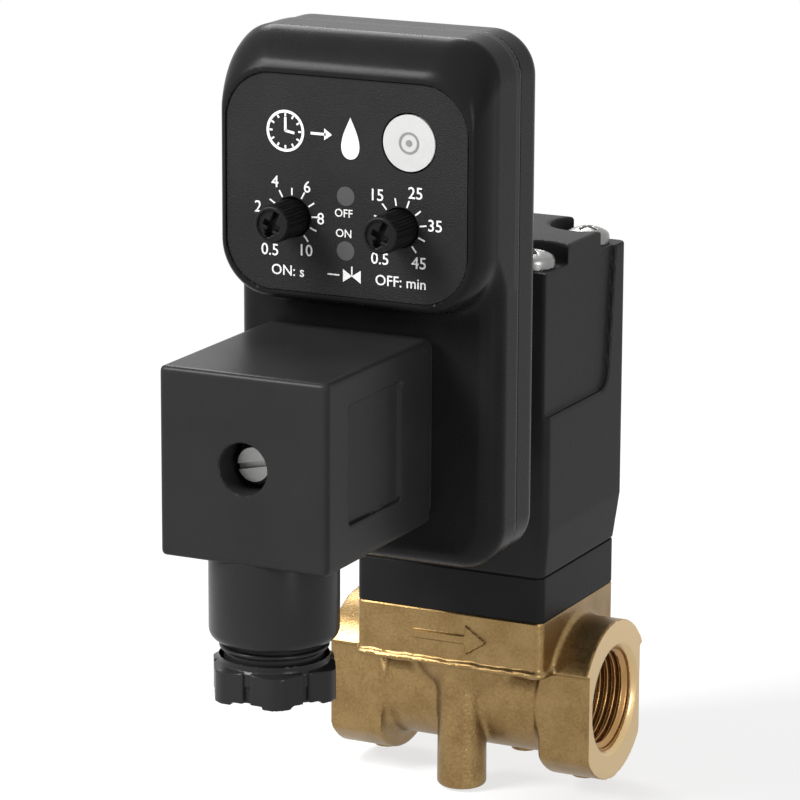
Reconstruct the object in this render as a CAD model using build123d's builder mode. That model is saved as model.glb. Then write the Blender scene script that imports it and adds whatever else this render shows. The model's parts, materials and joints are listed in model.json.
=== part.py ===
from build123d import *
import math
import os

os.makedirs("parts", exist_ok=True)

# Automatic drain valve: brass diaphragm valve, solenoid, timer and cable plug. All sizes in mm.
# The origin is on the inlet port's axis where its thread begins, just inside the countersunk mouth.
# +X runs with the flow, +Z is up and the timer looks along -Y. The helpers below work from the valve
# axis, which stands at x = xc.

# ---- brass body ----
body_length = 47.0
half_len = body_length / 2
port_r = 13.3            # round of the port collars
port_flat = 10.4         # half width over the spanner flats
port_ledge = 6.9         # height where the flats end
barrel_r = 10.2
collar_len = 9.2
tap_r = 7.475            # G3/8 minor radius
tap_major_r = 8.33
tap_depth = 12.5
mouth_r = 9.3
xc = half_len - (mouth_r - tap_r)
passage_r = 4.5
inlet_stop = 6.0           # end wall of the inlet passage, from the valve axis
tap_end = half_len - tap_depth
flange_x, flange_y, flange_corner = 33.4, 29.5, 2.8
flange_bottom, flange_top = 6.9, 15.7
boss_y, boss_r, boss_bottom = -8.9, 4.1, -15.3
boss_hole_r, boss_hole_depth = 2.1, 9.0      # M5 tapping size
screw_x, screw_y = 12.6, 10.9                # long housing screws
screw_r = 2.0
chamber_r, chamber_floor = 11.0, 8.4
seat_r, seat_hole_r, seat_top = 5.6, 3.6, 12.6
clamp_r, clamp_floor = 12.8, 14.3

# ---- bonnet, diaphragm and armature ----
bonnet_top = 23.3
bonnet_roof = 19.9
plate_r = 6.2
stem_r = 2.4
nozzle_r, nozzle_top, pilot_r = 1.8, 18.4, 0.7
plunger_r = 4.0
running = 0.05           # running fit of the plunger in its tube
plunger_bottom, plunger_top = 19.3, 45.0
core_bottom, core_top = 48.0, 62.9
plunger_stroke = 2.4

# ---- solenoid housing ----
coil_x, coil_y = 35.2, 31.0
coil_band_top, coil_top = 31.1, 73.6
plateau_top = 76.7
bobbin_r, bobbin_in, winding_r = 11.6, 4.75, 10.8
yoke_y, yoke_x, yoke_t = 16.0, 28.8, 1.8

# ---- timer ----
t_half, t_bottom, t_top = 22.4, 32.3, 115.6
t_back, t_part, t_front = -30.0, -37.5, -45.2
t_wall = 2.0
panel_y = -51.9          # face of the label
rim_y = -52.3
label_w, label_bottom, label_top, label_corner = 40.5, 75.4, 108.7, 7.6
knob_dx, knob_z, knob_r, knob_len = 9.1, 86.8, 2.8, 7.0
led_z_off, led_z_on, led_r = 90.8, 82.4, 1.5
test_x, test_z, test_r = 10.6, 99.8, 4.3
board_back, board_front = -41.2, -42.8

# ---- plug ----
plug_x, plug_z = -2.2, 54.7
plug_w, plug_h = 28.0, 28.6
plug_front, plug_rear = -81.0, -46.4
plug_wall = 2.2
plug_floor = plug_z - plug_h / 2
socket_w = 27.5
neck_y, neck_r, neck_bottom = -71.1, 9.9, 25.3
collar_r, collar_bottom = 8.25, 24.3
thread_r, thread_bottom = 7.6, 19.7
nut_bottom, nut_top, nut_af = 17.3, 23.2, 18.2
nut_floor = 18.5
cable_r = 4.0


def front(y):
    """Plane facing the timer's front: local x is X from the valve axis, local y is Z."""
    return Plane(origin=(xc, y, 0), x_dir=(1, 0, 0), z_dir=(0, -1, 0))


def level(z):
    """Horizontal plane: local x is X from the valve axis, local y is Y."""
    return Plane(origin=(xc, 0, z), x_dir=(1, 0, 0), z_dir=(0, 0, 1))


def across(x):
    """Plane facing +X: local x is Y, local y is Z."""
    return Plane(origin=(xc + x, 0, 0), x_dir=(0, 1, 0), z_dir=(1, 0, 0))


def valve_axis(x=0.0, y=0.0):
    return Axis((xc + x, y, 0), (0, 0, 1))


def corner_pts():
    return [(sx * screw_x, sy * screw_y) for sx in (-1, 1) for sy in (-1, 1)]


def rounded_outline(half, bottom, top, r_bottom, r_top):
    """Rectangle with one radius on its lower and another on its upper corners."""
    with BuildSketch() as s:
        with Locations((0, (bottom + top) / 2)):
            Rectangle(2 * half, top - bottom)
        fillet(s.vertices().group_by(Axis.Y)[0], r_bottom)
        fillet(s.vertices().group_by(Axis.Y)[-1], r_top)
    return s.sketch


def spring(radius, wire, z0, z1, turns, x=0.0, y=0.0):
    """Round-wire compression spring between the heights z0 and z1."""
    height = z1 - z0 - wire
    with BuildPart() as s:
        with BuildLine() as path:
            Helix(pitch=height / turns, height=height, radius=radius, center=(xc + x, y, z0 + wire / 2))
        with BuildSketch(Plane(origin=path.line @ 0, z_dir=path.line % 0)):
            RegularPolygon(wire / 2, 6)
        sweep(is_frenet=True)
    return s.part


# ================= brass body =================
with BuildPart() as valve_body:
    with BuildSketch(front(0)):
        with BuildLine():
            steps = [(0.0, port_r), (0.7, port_r - 0.35), (2.3, barrel_r + 0.9), (3.2, barrel_r + 0.25),
                     (4.4, barrel_r)]
            waist = [(half_len - collar_len - d, r) for d, r in steps]
            Polyline((-half_len, 0), (-half_len, port_r), *[(-x, r) for x, r in waist], *reversed(waist),
                     (half_len, port_r), (half_len, 0), (-half_len, 0))
        make_face()
    revolve(axis=Axis((xc, 0, 0), (1, 0, 0)))
    # spanner flats below the ledge, full round above it
    arch = math.sqrt(port_r ** 2 - port_ledge ** 2)
    flat_z = -math.sqrt(port_r ** 2 - port_flat ** 2)
    with BuildSketch(across(-half_len)):
        with BuildLine():
            Polyline((-arch, port_ledge), (-port_flat, port_ledge - 0.5), (-port_flat, flat_z))
            ThreePointArc((-port_flat, flat_z), (0, -port_r), (port_flat, flat_z))
            Polyline((port_flat, flat_z), (port_flat, port_ledge - 0.5), (arch, port_ledge))
            ThreePointArc((arch, port_ledge), (0, port_r), (-arch, port_ledge))
        make_face()
    extrude(amount=body_length, mode=Mode.INTERSECT)
    # bowl of the valve chamber, seen under the flange
    with BuildSketch(front(-4.6)):
        with BuildLine():
            Line((-2.2, -1.5), (-2.2, 12.5))
            ThreePointArc((-2.2, 12.5), (-9.2, 5.5), (-2.2, -1.5))
        make_face()
    revolve(axis=Axis((xc - 2.2, -4.6, 0), (0, 0, 1)))
    # mounting boss under the flange
    with BuildSketch(level(boss_bottom)):
        with Locations((0, boss_y)):
            Circle(boss_r)
    extrude(amount=flange_bottom - boss_bottom)
    boss_rim = [e for e in valve_body.edges().filter_by(GeomType.CIRCLE)
                if abs(e.center().Z - boss_bottom) < 0.05]
    chamfer(boss_rim, 0.6)
    # small cast pads on the underside
    for px in (-18.0, 7.4, 18.4):
        with BuildSketch(level(-(port_r if abs(px) > 14 else barrel_r) - 0.45)):
            with Locations((px, 0)):
                Circle(2.4)
        extrude(amount=3)
    # square flange that carries the bonnet, with its parting bead
    with BuildSketch(level(flange_bottom - 0.5)):
        RectangleRounded(flange_x + 0.2, flange_y + 0.2, flange_corner)
    extrude(amount=0.6, taper=-38)
    with BuildSketch(level(flange_bottom + 0.7)):
        RectangleRounded(flange_x + 0.2, flange_y + 0.2, flange_corner)
    extrude(amount=-0.6, taper=-38)
    with BuildSketch(level(flange_bottom - 0.2)):
        RectangleRounded(flange_x, flange_y, flange_corner)
    extrude(amount=flange_top - flange_bottom + 0.2)
    # diaphragm chamber with the raised seat ring
    with BuildSketch(level(clamp_floor)):
        Circle(clamp_r)
    extrude(amount=flange_top - clamp_floor, mode=Mode.SUBTRACT)
    with BuildSketch(front(0)):
        with BuildLine():
            Polyline((chamber_r, clamp_floor), (chamber_r, chamber_floor + 1), (chamber_r - 1, chamber_floor),
                     (seat_r, chamber_floor), (seat_r, seat_top - 1.2), (seat_r - 0.9, seat_top), (0, seat_top),
                     (0, clamp_floor), (chamber_r, clamp_floor))
        make_face()
    revolve(axis=valve_axis(), mode=Mode.SUBTRACT)
    # outlet: down through the seat and out to the right
    with BuildSketch(level(0)):
        Circle(seat_hole_r)
    extrude(amount=seat_top, mode=Mode.SUBTRACT)
    with BuildSketch(across(0)):
        Circle(passage_r)
    extrude(amount=tap_end + 1, mode=Mode.SUBTRACT)
    # inlet: in from the left and up into the chamber
    with BuildSketch(across(-tap_end - 1)):
        Circle(passage_r)
    extrude(amount=tap_end + 1 - inlet_stop, mode=Mode.SUBTRACT)
    with BuildSketch(level(0)):
        with Locations((-8.4, 0)):
            Circle(2.3)
    extrude(amount=chamber_floor + 0.5, mode=Mode.SUBTRACT)
    # tapped ports with their wide countersinks
    sink = mouth_r - tap_r
    for side in (-1, 1):
        with BuildSketch(front(0)):
            with BuildLine():
                Polyline((side * half_len, 0), (side * half_len, mouth_r), (side * (half_len - sink), tap_r),
                         (side * (half_len - tap_depth), tap_r),
                         (side * (half_len - tap_depth - 1.4), passage_r),
                         (side * (half_len - tap_depth - 1.4), 0), (side * half_len, 0))
            make_face()
        revolve(axis=Axis((xc, 0, 0), (1, 0, 0)), mode=Mode.SUBTRACT)
    # tapped holes: boss below, housing screws above
    with BuildSketch(level(boss_bottom)):
        with Locations((0, boss_y)):
            Circle(boss_hole_r)
    extrude(amount=boss_hole_depth, mode=Mode.SUBTRACT)
    with BuildSketch(level(8.6)):
        with Locations(*corner_pts()):
            Circle(screw_r)
    extrude(amount=flange_top - 8.6, mode=Mode.SUBTRACT)
valve_body.part.label = "valve_body"
export_step(valve_body.part, "parts/valve_body.step")

# ================= diaphragm group =================
with BuildPart() as diaphragm:
    with BuildSketch(front(0)):
        with BuildLine():
            Polyline((stem_r, 14.5), (10.6, 14.5), (10.9, clamp_floor), (clamp_r - 0.1, clamp_floor),
                     (clamp_r - 0.1, flange_top), (10.9, flange_top), (10.6, 15.5), (stem_r, 15.5),
                     (stem_r, 14.5))
        make_face()
    revolve(axis=valve_axis())
diaphragm.part.label = "diaphragm"
export_step(diaphragm.part, "parts/diaphragm.step")

# valve disc, stem and pilot nozzle, riveted through the diaphragm
with BuildPart() as diaphragm_core:
    with BuildSketch(front(0)):
        with BuildLine():
            Polyline((pilot_r, seat_top), (plate_r, seat_top), (plate_r, 14.5), (stem_r, 14.5), (stem_r, 15.5),
                     (plate_r, 15.5), (plate_r, 16.7), (plate_r - 0.3, 17.0), (2.6, 17.0), (nozzle_r, 17.6),
                     (nozzle_r - 0.5, nozzle_top), (pilot_r, nozzle_top), (pilot_r, seat_top))
        make_face()
    revolve(axis=valve_axis())
diaphragm_core.part.label = "diaphragm_core"
export_step(diaphragm_core.part, "parts/diaphragm_core.step")

diaphragm_spring = spring(5.2, 0.6, 17.0, bonnet_roof, 2.5)
diaphragm_spring.label = "diaphragm_spring"
export_step(diaphragm_spring, "parts/diaphragm_spring.step")

# ================= bonnet =================
with BuildPart() as cover_flange:
    with BuildSketch(level(flange_top)):
        RectangleRounded(flange_x, flange_y, flange_corner)
    extrude(amount=bonnet_top - flange_top)
    with BuildSketch(level(flange_top)):
        Circle(10.9)
    extrude(amount=bonnet_roof - flange_top, mode=Mode.SUBTRACT)
    with BuildSketch(level(bonnet_roof)):
        Circle(plunger_r + 0.35)
    extrude(amount=bonnet_top - bonnet_roof, mode=Mode.SUBTRACT)
    with BuildSketch(level(bonnet_top - 1.6)):
        Circle(7.4)
    extrude(amount=1.6, mode=Mode.SUBTRACT)
    with BuildSketch(level(flange_top)):
        with Locations(*corner_pts()):
            Circle(screw_r + 0.2)
    extrude(amount=bonnet_top - flange_top, mode=Mode.SUBTRACT)
cover_flange.part.label = "cover_flange"
export_step(cover_flange.part, "parts/cover_flange.step")

# ================= armature =================
with BuildPart() as armature_tube:
    with BuildSketch(front(0)):
        inner, outer = plunger_r + running, plunger_r + 0.6
        with BuildLine():
            Polyline((inner, bonnet_top - 1.6), (7.3, bonnet_top - 1.6), (7.3, bonnet_top), (outer, bonnet_top),
                     (outer, 58.6), (inner, 58.6), (inner, bonnet_top - 1.6))
        make_face()
    revolve(axis=valve_axis())
armature_tube.part.label = "armature_tube"
export_step(armature_tube.part, "parts/armature_tube.step")

with BuildPart() as fixed_core:
    with BuildSketch(front(0)):
        with BuildLine():
            Polyline((0, core_bottom + 2.5), (2.5, core_bottom + 2.5), (2.5, core_bottom),
                     (plunger_r + running, core_bottom), (plunger_r + running, core_top - 0.6),
                     (plunger_r - 0.55, core_top), (0, core_top), (0, core_bottom + 2.5))
        make_face()
    revolve(axis=valve_axis())
fixed_core.part.label = "fixed_core"
export_step(fixed_core.part, "parts/fixed_core.step")

with BuildPart() as plunger:
    with BuildSketch(front(0)):
        with BuildLine():
            Polyline((0, plunger_bottom + 1.9), (2.5, plunger_bottom + 1.9), (2.5, plunger_bottom),
                     (plunger_r - 0.5, plunger_bottom), (plunger_r, plunger_bottom + 0.5),
                     (plunger_r, plunger_top - 0.4), (plunger_r - 0.4, plunger_top), (2.6, plunger_top),
                     (2.6, plunger_top - 6), (0, plunger_top - 6), (0, plunger_bottom + 1.9))
        make_face()
    revolve(axis=valve_axis())
    # two pressure-relief grooves along the sides
    with BuildSketch(level(plunger_bottom)):
        with Locations((0, plunger_r), (0, -plunger_r)):
            Rectangle(1.2, 1.2)
    extrude(amount=plunger_top - plunger_bottom, mode=Mode.SUBTRACT)
plunger.part.label = "plunger"
export_step(plunger.part, "parts/plunger.step")

with BuildPart() as plunger_seal:
    with BuildSketch(level(nozzle_top)):
        Circle(2.3)
    extrude(amount=0.9)
    with BuildSketch(level(nozzle_top + 0.9)):
        Circle(2.5)
    extrude(amount=1.9)
plunger_seal.part.label = "plunger_seal"
export_step(plunger_seal.part, "parts/plunger_seal.step")

plunger_spring = spring(2.05, 0.5, plunger_top - 6, core_bottom + 2.5, 6)
plunger_spring.label = "plunger_spring"
export_step(plunger_spring, "parts/plunger_spring.step")

# ================= coil =================
yoke_bottom = bonnet_top + 0.2
bobbin_bottom = yoke_bottom + yoke_t + 0.1
bobbin_top = 60.9
with BuildPart() as bobbin:
    with BuildSketch(front(0)):
        with BuildLine():
            Polyline((bobbin_in, bobbin_bottom), (bobbin_r, bobbin_bottom), (bobbin_r, bobbin_bottom + 1.2),
                     (bobbin_in + 1, bobbin_bottom + 1.2), (bobbin_in + 1, bobbin_top - 1.2),
                     (bobbin_r, bobbin_top - 1.2), (bobbin_r, bobbin_top), (bobbin_in, bobbin_top),
                     (bobbin_in, bobbin_bottom))
        make_face()
    revolve(axis=valve_axis())
bobbin.part.label = "bobbin"
export_step(bobbin.part, "parts/bobbin.step")

with BuildPart() as winding:
    with BuildSketch(front(0)):
        with BuildLine():
            Polyline((bobbin_in + 1, bobbin_bottom + 1.2), (winding_r, bobbin_bottom + 1.2),
                     (winding_r, bobbin_top - 1.2), (bobbin_in + 1, bobbin_top - 1.2),
                     (bobbin_in + 1, bobbin_bottom + 1.2))
        make_face()
    revolve(axis=valve_axis())
winding.part.label = "coil_winding"
export_step(winding.part, "parts/coil_winding.step")

yoke_top = bobbin_top + 0.1 + yoke_t
with BuildPart() as yoke_frame:
    with BuildSketch(front(-yoke_y / 2)):
        with Locations((0, (yoke_bottom + yoke_top) / 2)):
            Rectangle(yoke_x, yoke_top - yoke_bottom)
            Rectangle(yoke_x - 2 * yoke_t, yoke_top - yoke_bottom - 2 * yoke_t, mode=Mode.SUBTRACT)
    extrude(amount=-yoke_y)
    with BuildSketch(level(yoke_bottom)):
        Circle(bobbin_in)
    extrude(amount=yoke_top - yoke_bottom - yoke_t - 0.5, mode=Mode.SUBTRACT)
    with BuildSketch(level(yoke_top - yoke_t - 0.5)):
        Circle(plunger_r + 2 * running)
    extrude(amount=yoke_t + 0.5, mode=Mode.SUBTRACT)
yoke_frame.part.label = "yoke_frame"
export_step(yoke_frame.part, "parts/yoke_frame.step")

# ================= solenoid housing =================
rear_pad_front = -17.4
insert_r = 2.3
with BuildPart() as coil_housing:
    with BuildSketch(level(coil_band_top)):
        RectangleRounded(coil_x, coil_y, 2.6)
    extrude(amount=coil_top - coil_band_top)
    # bottom band drawn in to the bonnet's footprint
    with BuildSketch(level(bonnet_top)):
        RectangleRounded(flange_x, flange_y, flange_corner)
    with BuildSketch(level(coil_band_top)):
        RectangleRounded(coil_x, coil_y, 2.6)
    loft()
    # cross-shaped plateau between the four screw heads
    with BuildSketch(level(coil_top)):
        RectangleRounded(coil_x, coil_y, 2.6)
        with Locations(*corner_pts()):
            Circle(6.0, mode=Mode.SUBTRACT)
        with Locations(*[(math.copysign(coil_x / 2, x), math.copysign(coil_y / 2, y)) for x, y in corner_pts()]):
            Rectangle(13.2, 11.6, mode=Mode.SUBTRACT)
    extrude(amount=plateau_top - coil_top)
    # shallow recess on both sides, open at the top and towards the front
    for side in (-1, 1):
        with BuildSketch(across(side * coil_x / 2)) as recess:
            with BuildLine():
                Polyline((-coil_y / 2 - 1, 50.2), (8.6, 50.2), (11.6, coil_top + 5), (-coil_y / 2 - 1, coil_top + 5),
                         (-coil_y / 2 - 1, 50.2))
            make_face()
            fillet([v for v in recess.vertices() if abs(v.Y - 50.2) < 0.1 and v.X > 0], 2.6)
        extrude(amount=-side * 0.7, mode=Mode.SUBTRACT)
    # plug socket of the coil on the front
    with BuildSketch(front(-coil_y / 2 + 0.5)):
        with Locations((plug_x, plug_z)):
            RectangleRounded(socket_w, socket_w, 2.0)
    extrude(amount=-rear_pad_front - coil_y / 2 + 0.5)
    # space for the coil, yoke and armature
    with BuildSketch(level(bonnet_top)):
        Circle(bobbin_r + 0.15)
        Rectangle(yoke_x + 0.2, yoke_y + 0.2)
    extrude(amount=yoke_top + 0.1 - bonnet_top, mode=Mode.SUBTRACT)
    with BuildSketch(level(bonnet_top)):
        with Locations(*corner_pts()):
            Circle(screw_r + 0.2)
    extrude(amount=coil_top - bonnet_top, mode=Mode.SUBTRACT)
    # flat seats for the screw heads in the corners
    with BuildSketch(level(coil_top)):
        with Locations(*corner_pts()):
            Circle(4.1)
    extrude(amount=5, mode=Mode.SUBTRACT)
    # slots for the three blades and the bore for the long plug screw
    with BuildSketch(front(rear_pad_front)):
        with Locations((plug_x - 9, plug_z), (plug_x + 9, plug_z)):
            Rectangle(0.8, 6.3)
        with Locations((plug_x, plug_z - 9)):
            Rectangle(6.3, 0.8)
        with Locations((plug_x, plug_z)):
            Circle(1.5)
    extrude(amount=-4.2, mode=Mode.SUBTRACT)
coil_housing.part.label = "coil_housing"
export_step(coil_housing.part, "parts/coil_housing.step")

with BuildPart() as housing_screws:
    with BuildSketch(level(9.0)):
        with Locations(*corner_pts()):
            Circle(screw_r)
    extrude(amount=coil_top - 9.0)
    for sx, sy in corner_pts():
        with BuildSketch(Plane(origin=(xc + sx, sy, 0), x_dir=(1, 0, 0), z_dir=(0, -1, 0))):
            with BuildLine():
                Polyline((0, coil_top), (3.6, coil_top), (3.6, coil_top + 1.6), (2.9, coil_top + 2.4),
                         (1.6, coil_top + 2.75), (0, coil_top + 2.75), (0, coil_top))
            make_face()
        revolve(axis=valve_axis(sx, sy))
    with BuildSketch(level(coil_top + 1.2)):
        with Locations(*corner_pts()):
            Rectangle(4.4, 1.0)
            Rectangle(1.0, 4.4)
    extrude(amount=3, mode=Mode.SUBTRACT)
housing_screws.part.label = "housing_screws"
export_step(housing_screws.part, "parts/housing_screws.step")

blade_rear, blade_tip = rear_pad_front + 4.0, rear_pad_front - 9.0
with BuildPart() as coil_terminals:
    with BuildSketch(front(blade_rear)):
        with Locations((plug_x - 9, plug_z), (plug_x + 9, plug_z)):
            Rectangle(0.8, 6.3)
        with Locations((plug_x, plug_z - 9)):
            Rectangle(6.3, 0.8)
    extrude(amount=blade_rear - blade_tip)
coil_terminals.part.label = "coil_terminals"
export_step(coil_terminals.part, "parts/coil_terminals.step")

gasket_t = 1.2
with BuildPart() as rear_gasket:
    with BuildSketch(front(rear_pad_front)):
        with Locations((plug_x, plug_z)):
            RectangleRounded(socket_w, socket_w, 2.0)
            RectangleRounded(socket_w - 4, socket_w - 4, 1.0, mode=Mode.SUBTRACT)
    extrude(amount=gasket_t)
rear_gasket.part.label = "rear_gasket"
export_step(rear_gasket.part, "parts/rear_gasket.step")

# ================= timer housing =================
socket_rear = rear_pad_front - gasket_t
with BuildPart() as timer_back_shell:
    with BuildSketch(front(t_back)):
        add(rounded_outline(t_half - 0.15, t_bottom + 0.15, t_top - 0.15, 7.0, 10.6))
    extrude(amount=t_back - t_part)
    fillet(timer_back_shell.faces().sort_by(Axis.Y)[-1].edges(), 2.2)
    with BuildSketch(front(t_back - t_wall)):
        add(rounded_outline(t_half - t_wall, t_bottom + t_wall, t_top - t_wall, 5.2, 8.8))
    extrude(amount=t_back - t_wall - t_part, mode=Mode.SUBTRACT)
    # socket block that plugs onto the coil
    with BuildSketch(front(t_back - 1)):
        with Locations((plug_x, plug_z)):
            RectangleRounded(socket_w, socket_w, 2.0)
    extrude(amount=t_back - 1 - socket_rear)
    with BuildSketch(front(t_part)):
        with Locations((plug_x, plug_z)):
            Rectangle(socket_w - 4, socket_w - 4)
    extrude(amount=-(socket_rear - t_part), mode=Mode.SUBTRACT)
timer_back_shell.part.label = "timer_back_shell"
export_step(timer_back_shell.part, "parts/timer_back_shell.step")

contact_front = socket_rear - 10.4
with BuildPart() as socket_insert:
    with BuildSketch(front(socket_rear)):
        with Locations((plug_x, plug_z)):
            Rectangle(socket_w - 4.2, socket_w - 4.2)
            Circle(1.8, mode=Mode.SUBTRACT)
        with Locations((plug_x - 9, plug_z), (plug_x + 9, plug_z)):
            Rectangle(3.0, 7.4, mode=Mode.SUBTRACT)
        with Locations((plug_x, plug_z - 9)):
            Rectangle(7.4, 3.0, mode=Mode.SUBTRACT)
    extrude(amount=10.4)
socket_insert.part.label = "socket_insert"
export_step(socket_insert.part, "parts/socket_insert.step")

with BuildPart() as socket_contacts:
    with BuildSketch(front(socket_rear - 0.6)):
        with Locations((plug_x - 9, plug_z), (plug_x + 9, plug_z)):
            Rectangle(2.9, 7.3)
            Rectangle(0.82, 7.3 - 0.8, mode=Mode.SUBTRACT)
        with Locations((plug_x, plug_z - 9)):
            Rectangle(7.3, 2.9)
            Rectangle(7.3 - 0.8, 0.82, mode=Mode.SUBTRACT)
    extrude(amount=9.4)
socket_contacts.part.label = "socket_contacts"
export_step(socket_contacts.part, "parts/socket_contacts.step")

with BuildPart() as timer_front_cover:
    with BuildSketch(front(t_part)):
        add(rounded_outline(t_half, t_bottom, t_top, 7.0, 10.6))
    extrude(amount=t_part - t_front)
    fillet(timer_front_cover.faces().sort_by(Axis.Y)[0].edges(), 3.4)
    # raised operating panel with sloping sides, standing over the upper half
    with BuildSketch(front(t_front + 5)):
        add(rounded_outline(t_half, 73.3, t_top, 9.5, 10.6))
    extrude(amount=6.2)
    crown = [(t_front - 1.2, t_half, 73.3, t_top, 9.5, 10.6), (-48.4, 22.05, 73.5, 114.4, 9.3, 10.4),
             (-50.6, 21.6, 73.9, 112.4, 8.8, 9.6), (rim_y, 21.0, 74.6, 109.5, 8.3, 8.3)]
    for low, high in zip(crown, crown[1:]):
        for y, half, bottom, top, r_bottom, r_top in (low, high):
            with BuildSketch(front(y)):
                add(rounded_outline(half, bottom, top, r_bottom, r_top))
        loft()
    # recess for the label, and the hollow inside
    with BuildSketch(front(rim_y)):
        with Locations((0, (label_bottom + label_top) / 2)):
            RectangleRounded(label_w + 0.2, label_top - label_bottom + 0.2, label_corner + 0.1)
    extrude(amount=-(panel_y - rim_y) - 0.4, mode=Mode.SUBTRACT)
    with BuildSketch(front(t_part)):
        add(rounded_outline(t_half - t_wall, t_bottom + t_wall, t_top - t_wall, 5.2, 8.8))
    extrude(amount=t_part - t_front - t_wall, mode=Mode.SUBTRACT)
    with BuildSketch(front(t_front + t_wall + 1)):
        with Locations((0, (label_bottom + label_top) / 2)):
            RectangleRounded(label_w - 4, label_top - label_bottom - 4, 6)
    extrude(amount=t_front + t_wall + 1 - (panel_y + 1.9), mode=Mode.SUBTRACT)
    # holes for knobs, lamps, test key and plug pins
    with BuildSketch(front(t_front)):
        with Locations((-knob_dx, knob_z), (knob_dx, knob_z)):
            Circle(knob_r + 0.35)
        with Locations((0, led_z_off), (0, led_z_on)):
            Circle(led_r + 0.1)
        with Locations((test_x, test_z)):
            Circle(test_r + 0.35)
    extrude(amount=t_front - rim_y, mode=Mode.SUBTRACT)
    with BuildSketch(front(t_front + t_wall)):
        with Locations((plug_x - 9, plug_z), (plug_x + 9, plug_z)):
            Rectangle(0.8, 6.3)
        with Locations((plug_x, plug_z - 9), (plug_x, plug_z + 9)):
            Rectangle(6.3, 0.8)
        with Locations((plug_x, plug_z)):
            Circle(1.8)
    extrude(amount=t_wall, mode=Mode.SUBTRACT)
timer_front_cover.part.label = "timer_front_cover"
export_step(timer_front_cover.part, "parts/timer_front_cover.step")

with BuildPart() as timer_label:
    with BuildSketch(front(panel_y + 0.4)):
        with Locations((0, (label_bottom + label_top) / 2)):
            RectangleRounded(label_w, label_top - label_bottom, label_corner)
        with Locations((-knob_dx, knob_z), (knob_dx, knob_z)):
            Circle(knob_r + 0.35, mode=Mode.SUBTRACT)
        with Locations((0, led_z_off), (0, led_z_on)):
            Circle(led_r + 0.05, mode=Mode.SUBTRACT)
        with Locations((test_x, test_z)):
            Circle(test_r + 0.3, mode=Mode.SUBTRACT)
    extrude(amount=0.4)
timer_label.part.label = "timer_label"
export_step(timer_label.part, "parts/timer_label.step")

# ================= timer controls =================
knob_tip = panel_y - knob_len
for name, dx, turn in (("on_time_knob", -knob_dx, 25), ("off_time_knob", knob_dx, 25)):
    with BuildPart() as knob:
        with BuildSketch(front(panel_y + 3.6)):
            with Locations((dx, knob_z)):
                Circle(knob_r)
        extrude(amount=knob_len + 3.6)
        chamfer(knob.faces().sort_by(Axis.Y)[0].edges(), 0.3)
        # arrow-shaped cross slot in the tip
        with BuildSketch(front(knob_tip)):
            with Locations(Location((dx, knob_z), turn - 25)):
                Rectangle(0.9, 4.2)
                Rectangle(3.0, 0.9)
        extrude(amount=-1.6, mode=Mode.SUBTRACT)
        # D-shaped shaft into the trimmer
        with BuildSketch(front(panel_y + 5.6)):
            with Locations((dx, knob_z)):
                Circle(1.5)
            with Locations((dx, knob_z + 1.9)):
                Rectangle(4, 1.4, mode=Mode.SUBTRACT)
        extrude(amount=2.0)
    knob.part.label = name
    export_step(knob.part, "parts/" + name + ".step")

with BuildPart() as potentiometers:
    with BuildSketch(front(board_front)):
        with Locations((-knob_dx, knob_z), (knob_dx, knob_z)):
            Rectangle(9.0, 9.6)
    extrude(amount=board_front - (panel_y + 3.9))
    with BuildSketch(front(panel_y + 5.7)):
        with Locations((-knob_dx, knob_z), (knob_dx, knob_z)):
            Circle(1.8)
    extrude(amount=1.8, mode=Mode.SUBTRACT)
potentiometers.part.label = "potentiometers"
export_step(potentiometers.part, "parts/potentiometers.step")

key_front, key_travel = panel_y - 0.05, 0.5
with BuildPart() as test_button:
    with BuildSketch(front(panel_y + 2.2)):
        with Locations((test_x, test_z)):
            Circle(test_r)
    extrude(amount=panel_y + 2.2 - key_front)
    # flange that keeps the key behind the panel, and the stem onto the switch
    with BuildSketch(front(panel_y + 3.0)):
        with Locations((test_x, test_z)):
            Circle(test_r + 0.9)
    extrude(amount=0.9)
    with BuildSketch(front(panel_y + 4.0)):
        with Locations((test_x, test_z)):
            Circle(1.8)
    extrude(amount=1.2)
test_button.part.label = "test_button"
export_step(test_button.part, "parts/test_button.step")

with BuildPart() as test_switch:
    with BuildSketch(front(board_front)):
        with Locations((test_x, test_z)):
            Rectangle(6.0, 6.0)
    extrude(amount=board_front - (panel_y + 4.6))
test_switch.part.label = "test_switch"
export_step(test_switch.part, "parts/test_switch.step")

for name, z in (("off_lamp", led_z_off), ("on_lamp", led_z_on)):
    with BuildPart() as lamp:
        with BuildSketch(front(board_front)):
            with Locations((0, z)):
                Circle(led_r + 0.4)
        extrude(amount=board_front - (panel_y + 2.0))
        with BuildSketch(front(board_front)):
            with Locations((0, z)):
                Circle(led_r)
        extrude(amount=board_front - panel_y)
    lamp.part.label = name
    export_step(lamp.part, "parts/" + name + ".step")

with BuildPart() as circuit_board:
    with BuildSketch(front(board_back)) as pcb:
        with Locations((0, 73.8)):
            Rectangle(2 * t_half - 2 * t_wall - 2, 74)
        fillet(pcb.vertices(), 4.5)
        with Locations((plug_x, plug_z)):
            Circle(2.0, mode=Mode.SUBTRACT)
    extrude(amount=board_back - board_front)
circuit_board.part.label = "circuit_board"
export_step(circuit_board.part, "parts/circuit_board.step")

with BuildPart() as board_components:
    with BuildSketch(front(board_back)):
        with Locations((10.4, 92)):
            Rectangle(12, 18)
        with Locations((-9.5, 98)):
            Rectangle(15, 11)
        with Locations((-10, 84), (-10, 78)):
            Rectangle(9.4, 3.0)
    extrude(amount=-7.0)
    with BuildSketch(front(board_back)):
        with Locations((8.5, 76)):
            Circle(4.0)
    extrude(amount=-7.6)
board_components.part.label = "board_components"
export_step(board_components.part, "parts/board_components.step")

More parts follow.
